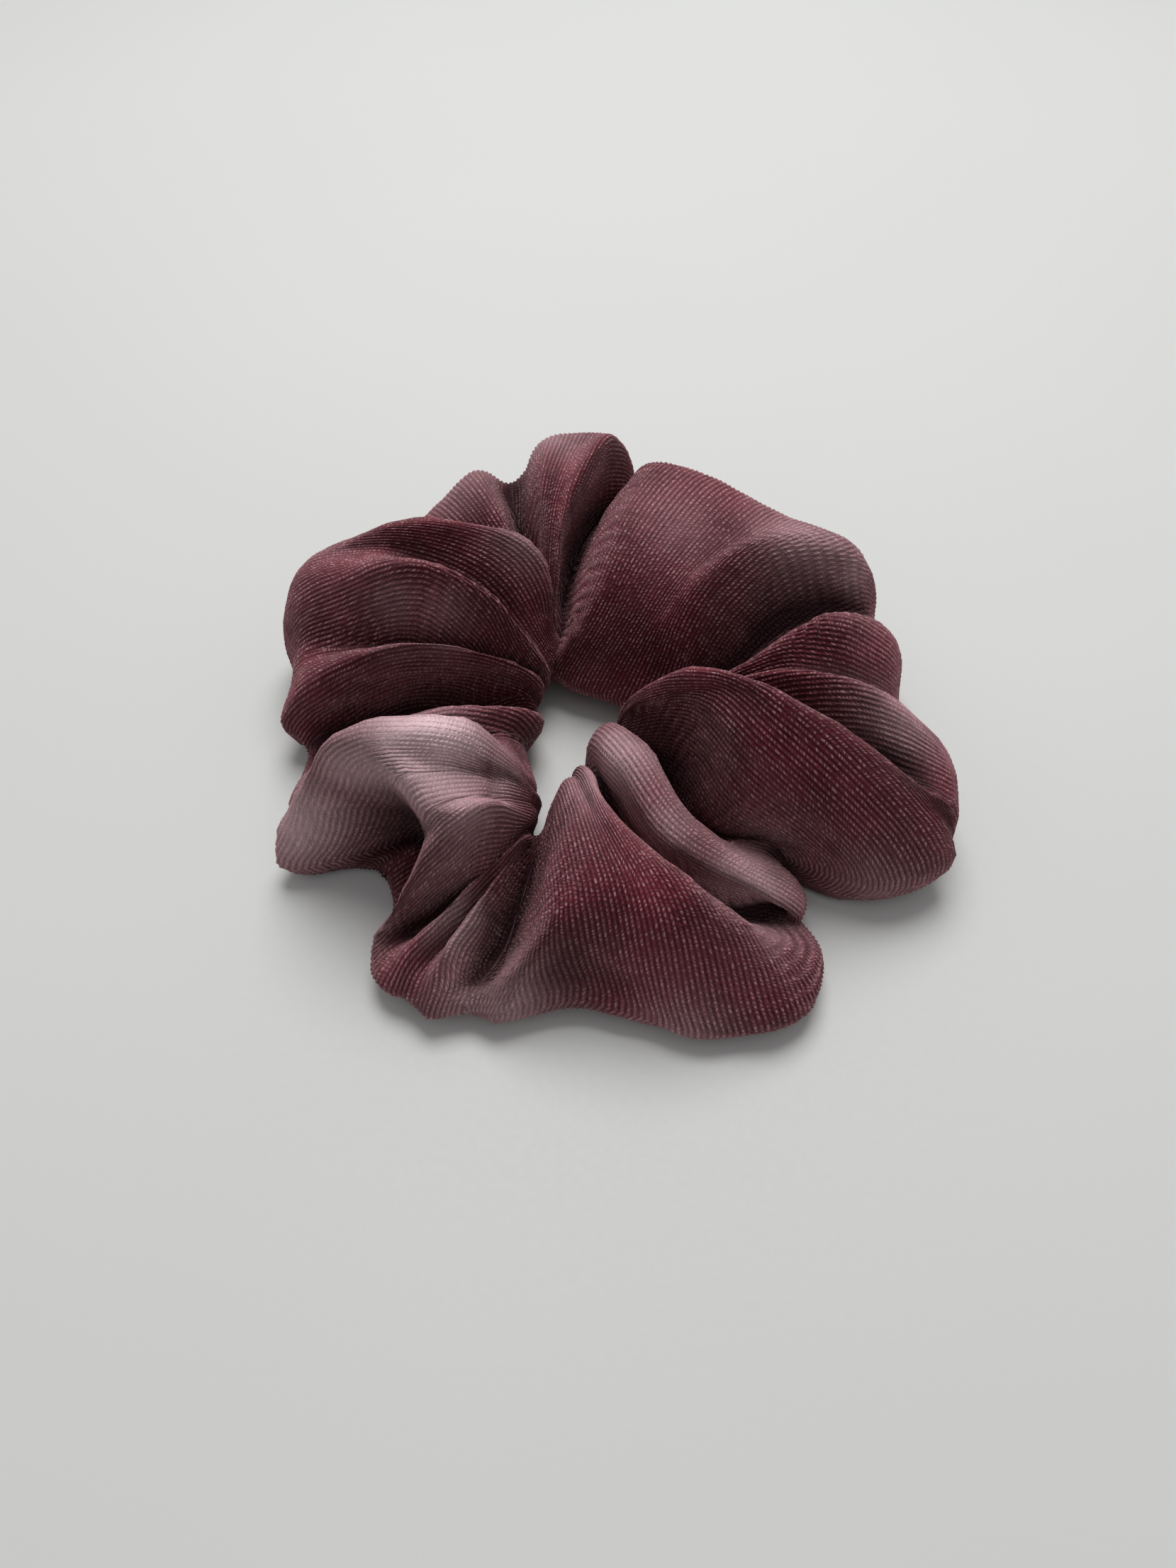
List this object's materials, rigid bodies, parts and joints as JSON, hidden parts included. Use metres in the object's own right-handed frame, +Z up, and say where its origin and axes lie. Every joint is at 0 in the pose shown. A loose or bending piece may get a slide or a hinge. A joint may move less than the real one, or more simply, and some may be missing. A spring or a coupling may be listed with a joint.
{
  "type": "scrunchie",
  "caption": "Hair scrunchie: a gathered velvet tube round a hidden elastic loop, lying flat, which pulls open and springs shut.",
  "frame": {"origin": "centre of the bounding box, on the surface that the scrunchie lies on", "axes": "+Z up through the hair opening, +X the way it is pulled open, +Y to the back"},
  "size_m": [0.1124, 0.1134, 0.0335],
  "materials": {
    "velvet": "ribbed stretch velvet with a sheen",
    "thread": "spun polyester thread",
    "elastic": "braided elastic",
    "tack_thread": "spun polyester thread"
  },
  "bodies": {
    "left_half": {"cover_left": "velvet", "long_seam_left": "thread", "closing_seam": "thread", "elastic_inner_end": "elastic", "elastic_outer_end": "elastic", "elastic_tack": "tack_thread"},
    "right_half": {"cover_right": "velvet", "long_seam_right": "thread", "elastic_right": "elastic"}
  },
  "joints": [
    {"name": "stretch", "type": "slide", "parent": "left_half", "child": "right_half", "axis": [1, 0, 0], "range_m": [0, 0.06], "stiffness_N_per_m": 60}
  ]
}
